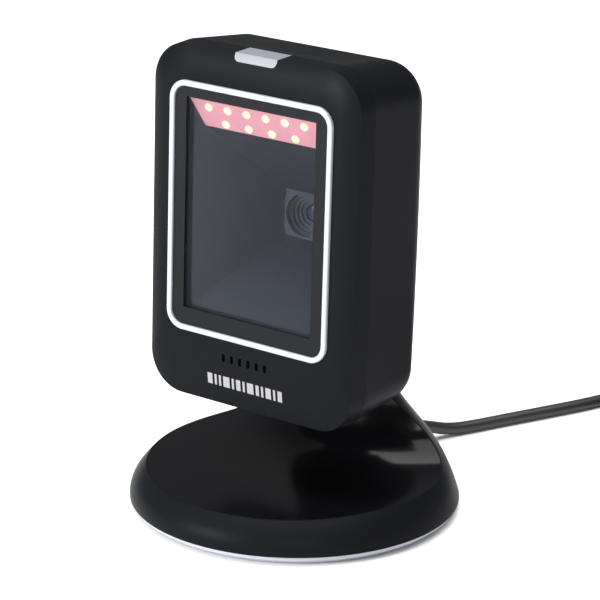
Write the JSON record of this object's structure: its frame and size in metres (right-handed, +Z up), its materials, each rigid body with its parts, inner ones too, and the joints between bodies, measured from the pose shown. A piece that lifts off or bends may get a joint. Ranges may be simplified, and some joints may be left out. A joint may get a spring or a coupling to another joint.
{
  "type": "presentation barcode scanner",
  "caption": "Upright hands-free barcode scanner: rectangular window head that tilts on a flared neck over a round weighted stand, with a USB lead.",
  "frame": {"origin": "on the table, under the middle of the round stand", "axes": "+Z up, the window faces -Y, +X to the right of someone behind the scanner looking out of the window's side"},
  "size_m": [0.1435, 0.2225, 0.1442],
  "materials": {
    "satin_black": "satin",
    "gloss_black": "polished",
    "silver_trim": "satin",
    "dark_plastic": "matte",
    "foot_rubber": "matte",
    "zinc_screw": "satin",
    "steel_plate": "brushed",
    "arm_plastic": "matte",
    "washer_nylon": "satin",
    "light_pipe": "frosted",
    "mask_ink": "gloss",
    "window_glass": "clear",
    "lamp_panel": "glowing",
    "lamp_chip": "glowing",
    "circuit_green": "satin",
    "chip_black": "matte",
    "mesh_cloth": "woven",
    "mark_ink": "printed",
    "cable_black": "satin",
    "tie_black": "matte",
    "plug_metal": "polished",
    "plug_core": "matte"
  },
  "bodies": {
    "stand": {"base_skirt": "satin_black", "base_cover": "gloss_black", "neck_cover": "gloss_black", "trim_ring": "silver_trim", "base_plate": "dark_plastic", "rubber_feet": "foot_rubber", "base_screws": "zinc_screw", "arm_screws": "zinc_screw", "ballast_plate": "steel_plate", "hinge_arm": "arm_plastic", "strain_relief": "foot_rubber", "usb_cable": "cable_black", "cable_coil": "cable_black", "cable_tie": "tie_black", "cable_tail": "cable_black", "usb_plug_grip": "tie_black", "usb_plug_shell": "plug_metal", "usb_plug_tongue": "plug_core"},
    "head": {"front_shell": "satin_black", "front_mark": "mark_ink", "status_light_pipe": "light_pipe", "rear_shell": "satin_black", "head_screws": "zinc_screw", "bezel_ring": "silver_trim", "window_mask": "mask_ink", "window_glass": "window_glass", "light_baffle": "dark_plastic", "lamp_board": "lamp_panel", "lamp_chips": "lamp_chip", "lens_hood": "dark_plastic", "lens_glass": "window_glass", "lens_barrel": "dark_plastic", "image_sensor": "chip_black", "sensor_board": "circuit_green", "main_board": "circuit_green", "board_chips": "chip_black", "lead_socket": "washer_nylon", "status_board": "circuit_green", "status_lamp": "lamp_chip", "sounder": "dark_plastic", "sounder_mesh": "mesh_cloth", "friction_washers": "washer_nylon", "hinge_brackets": "steel_plate", "hinge_pin": "zinc_screw", "hinge_nut": "zinc_screw"}
  },
  "joints": [
    {"name": "head_tilt", "type": "hinge", "parent": "stand", "child": "head", "pos_m": [0, 0.004, 0.048], "axis": [1, 0, 0], "range_deg": [-25, 15]}
  ]
}
